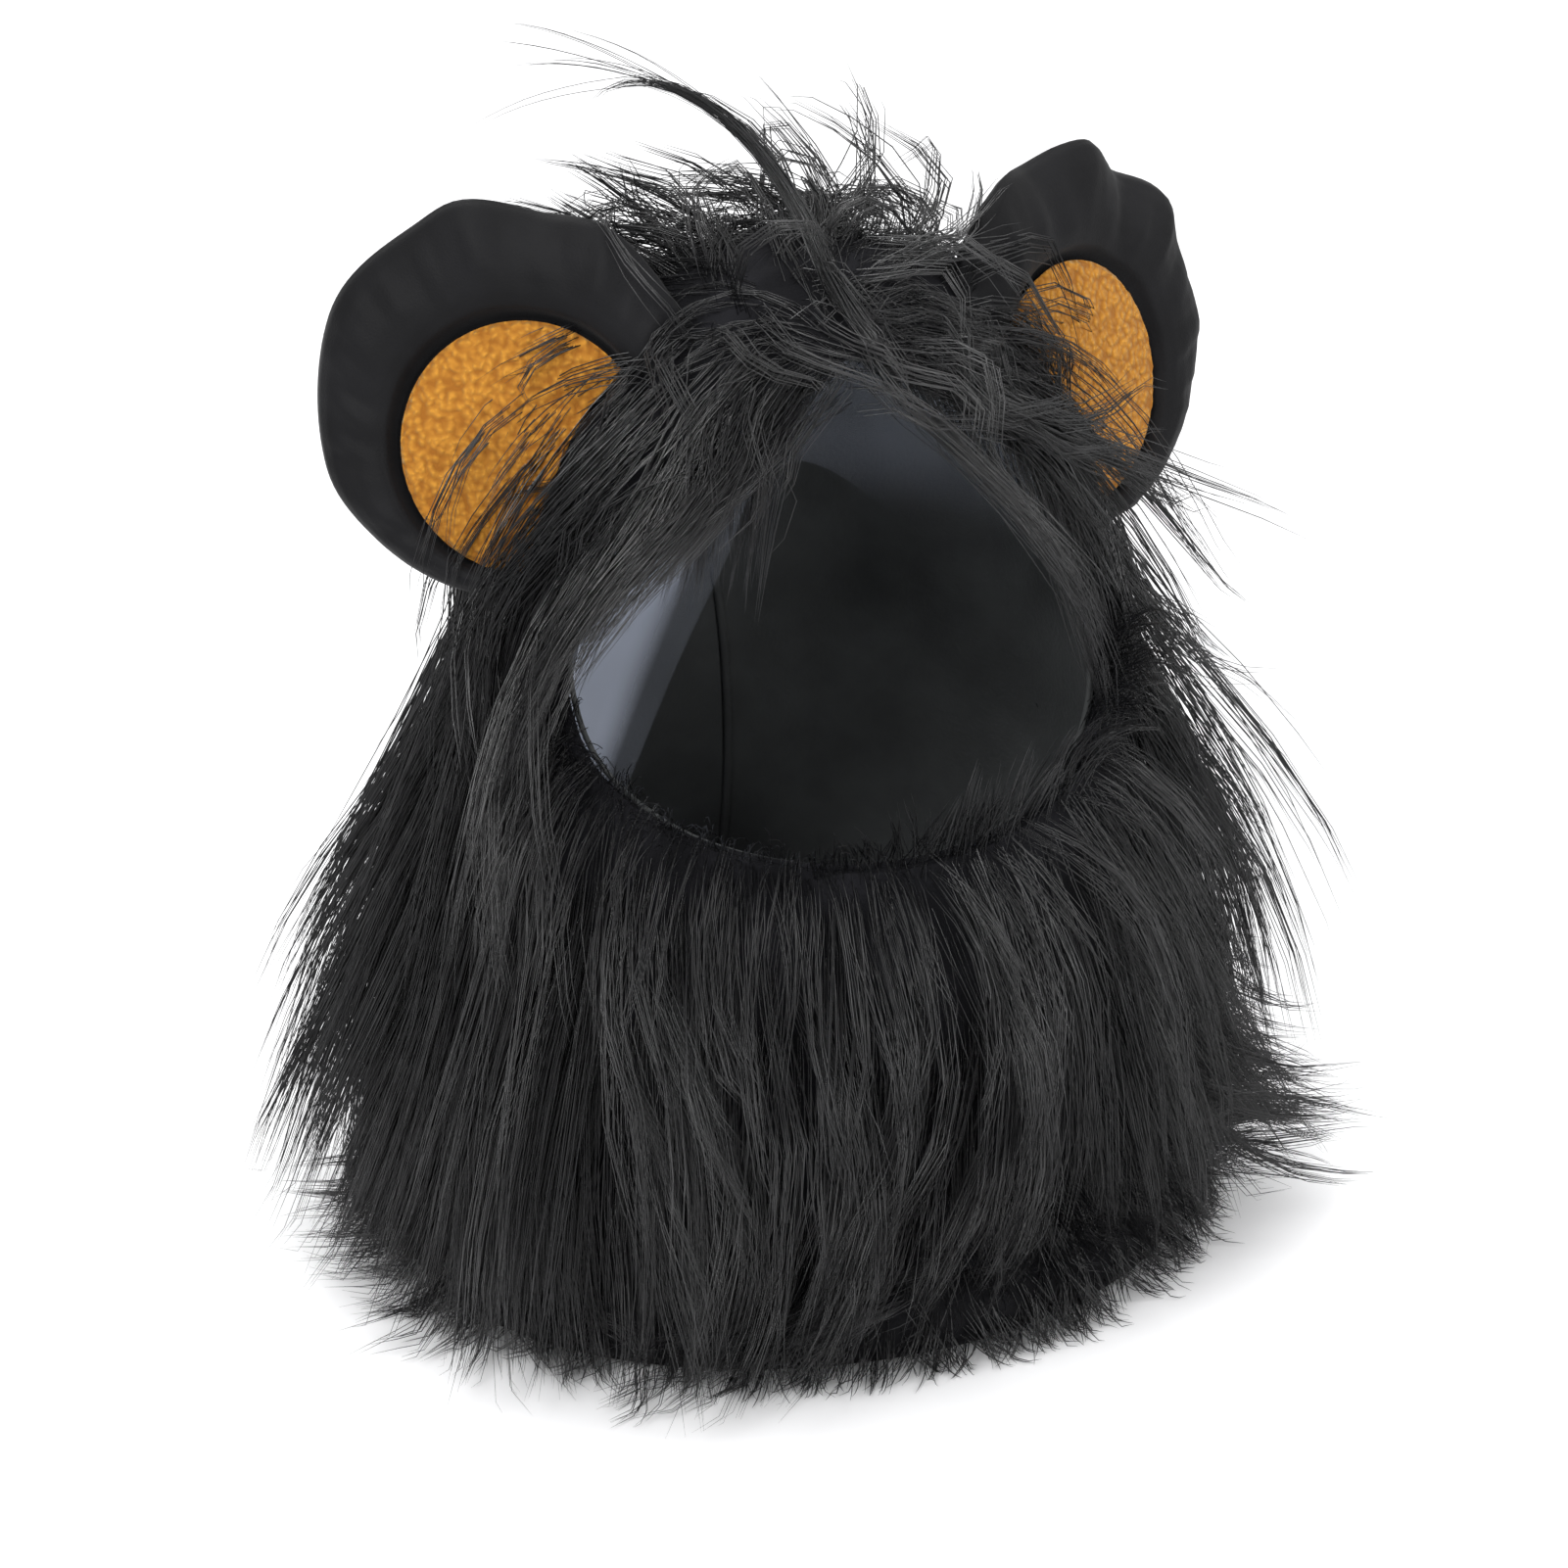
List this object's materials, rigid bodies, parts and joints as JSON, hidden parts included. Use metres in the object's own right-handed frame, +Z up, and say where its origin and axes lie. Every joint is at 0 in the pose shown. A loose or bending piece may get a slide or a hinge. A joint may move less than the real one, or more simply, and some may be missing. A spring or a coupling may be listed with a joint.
{
  "type": "pet lion mane wig with clear shaping sheet",
  "caption": "Black long-pile lion mane wig for a cat or small dog: lined hood with face opening, round ears, hanging mane and rolled neck hem, held open by a bent clear sheet.",
  "frame": {"origin": "on the surface that the wig stands on, under the middle of its bounding box", "axes": "+Z up, -Y out of the face opening, +X to the right as seen from the front"},
  "size_m": [0.2082, 0.1662, 0.2513],
  "materials": {
    "black_knit": "matte knitted ground cloth of the fur",
    "black_lining": "matte brushed lining",
    "clear_film": "thin clear glossy sheet",
    "black_fur": "long glossy synthetic fur",
    "black_velour": "short matte velour",
    "orange_fleece": "short curly fleece"
  },
  "bodies": {
    "root": {"hood_shell": "black_knit", "lining": "black_lining", "clear_sheet": "clear_film", "neck_hem": "black_fur", "mane_left": "black_fur", "mane_right": "black_fur", "mane_back": "black_fur", "mane_bib": "black_fur", "mane_crown": "black_fur", "forelock": "black_fur", "ear_left": "black_velour", "ear_right": "black_velour", "inner_ear_left": "orange_fleece", "inner_ear_right": "orange_fleece"}
  },
  "joints": []
}
